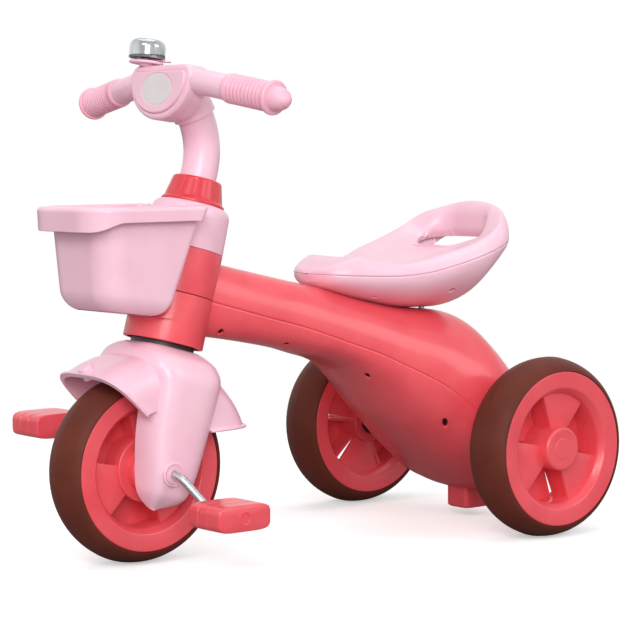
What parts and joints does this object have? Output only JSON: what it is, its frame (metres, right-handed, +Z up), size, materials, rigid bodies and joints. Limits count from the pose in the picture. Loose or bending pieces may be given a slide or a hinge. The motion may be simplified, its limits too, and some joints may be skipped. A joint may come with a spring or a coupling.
{
  "type": "children's tricycle",
  "caption": "Small pedal tricycle: raked steered front wheel with cranks and mudguard, two-shell moulded body, dished saddle with a hand hole, front basket, bell and ribbed grips.",
  "frame": {"origin": "on the ground under the middle of the whole length and width", "axes": "+X is the rider's left, -Y is forward, +Z is up"},
  "size_m": [0.3486, 0.572, 0.4954],
  "materials": {
    "coral_plastic": "moulded, glossy",
    "pink_plastic": "moulded, glossy",
    "pink_grip": "soft, satin",
    "brown_tyre": "soft, satin",
    "steel": "plated rod",
    "chrome": "mirror",
    "nylon": "matt",
    "dark_plastic": "matt"
  },
  "bodies": {
    "frame": {"body_upper": "coral_plastic", "body_lower": "coral_plastic", "body_screws": "steel", "seat_top": "pink_plastic", "seat_bottom": "pink_plastic", "seat_screws": "steel", "seat_bolts": "steel", "rear_axle": "steel", "axle_nuts": "steel", "axle_washers": "dark_plastic", "lower_head_bush": "nylon", "upper_head_bush": "nylon"},
    "steering": {"fork": "pink_plastic", "fork_ring": "dark_plastic", "steerer_tube": "steel", "left_crank_bush": "nylon", "right_crank_bush": "nylon", "basket_bracket": "pink_plastic", "basket": "pink_plastic", "basket_screws": "steel", "lock_collar": "coral_plastic", "stem": "pink_plastic", "console_front": "pink_plastic", "console_back": "pink_plastic", "console_screws": "steel", "left_bar_tube": "pink_plastic", "right_bar_tube": "pink_plastic", "left_grip": "pink_grip", "right_grip": "pink_grip", "bell_base": "pink_plastic", "bell_dome": "chrome", "bell_post": "steel"},
    "front_wheel": {"front_tyre": "brown_tyre", "front_rim": "coral_plastic", "crank_axle": "steel", "left_pedal_nut": "steel", "right_pedal_nut": "steel"},
    "left_pedal_body": {"left_pedal": "coral_plastic"},
    "right_pedal_body": {"right_pedal": "coral_plastic"},
    "left_rear_wheel": {"left_rear_tyre": "brown_tyre", "left_rear_rim": "coral_plastic", "left_hub_cap": "coral_plastic"},
    "right_rear_wheel": {"right_rear_tyre": "brown_tyre", "right_rear_rim": "coral_plastic", "right_hub_cap": "coral_plastic"},
    "bell_thumb": {"bell_lever": "pink_plastic"}
  },
  "joints": [
    {"name": "steering_turn", "type": "hinge", "parent": "frame", "child": "steering", "pos_m": [0, -0.196, 0.09], "axis": [0, 0.2672, 0.9636], "range_deg": [-45, 45]},
    {"name": "front_wheel_spin", "type": "hinge", "parent": "steering", "child": "front_wheel", "pos_m": [0, -0.196, 0.09], "axis": [1, 0, 0], "continuous": true},
    {"name": "left_pedal_spin", "type": "hinge", "parent": "front_wheel", "child": "left_pedal_body", "pos_m": [0.128, -0.18066, 0.05854], "axis": [1, 0, 0], "continuous": true},
    {"name": "right_pedal_spin", "type": "hinge", "parent": "front_wheel", "child": "right_pedal_body", "pos_m": [-0.128, -0.21134, 0.12146], "axis": [1, 0, 0], "continuous": true},
    {"name": "left_rear_wheel_spin", "type": "hinge", "parent": "frame", "child": "left_rear_wheel", "pos_m": [0.148, 0.196, 0.09], "axis": [1, 0, 0], "continuous": true},
    {"name": "right_rear_wheel_spin", "type": "hinge", "parent": "frame", "child": "right_rear_wheel", "pos_m": [-0.148, 0.196, 0.09], "axis": [1, 0, 0], "continuous": true},
    {"name": "bell_lever_push", "type": "hinge", "parent": "steering", "child": "bell_thumb", "pos_m": [-0.034, -0.15499, 0.4737], "axis": [0, 0.1288, 0.9917], "range_deg": [0, 25], "stiffness_Nm_per_rad": 0.05}
  ]
}
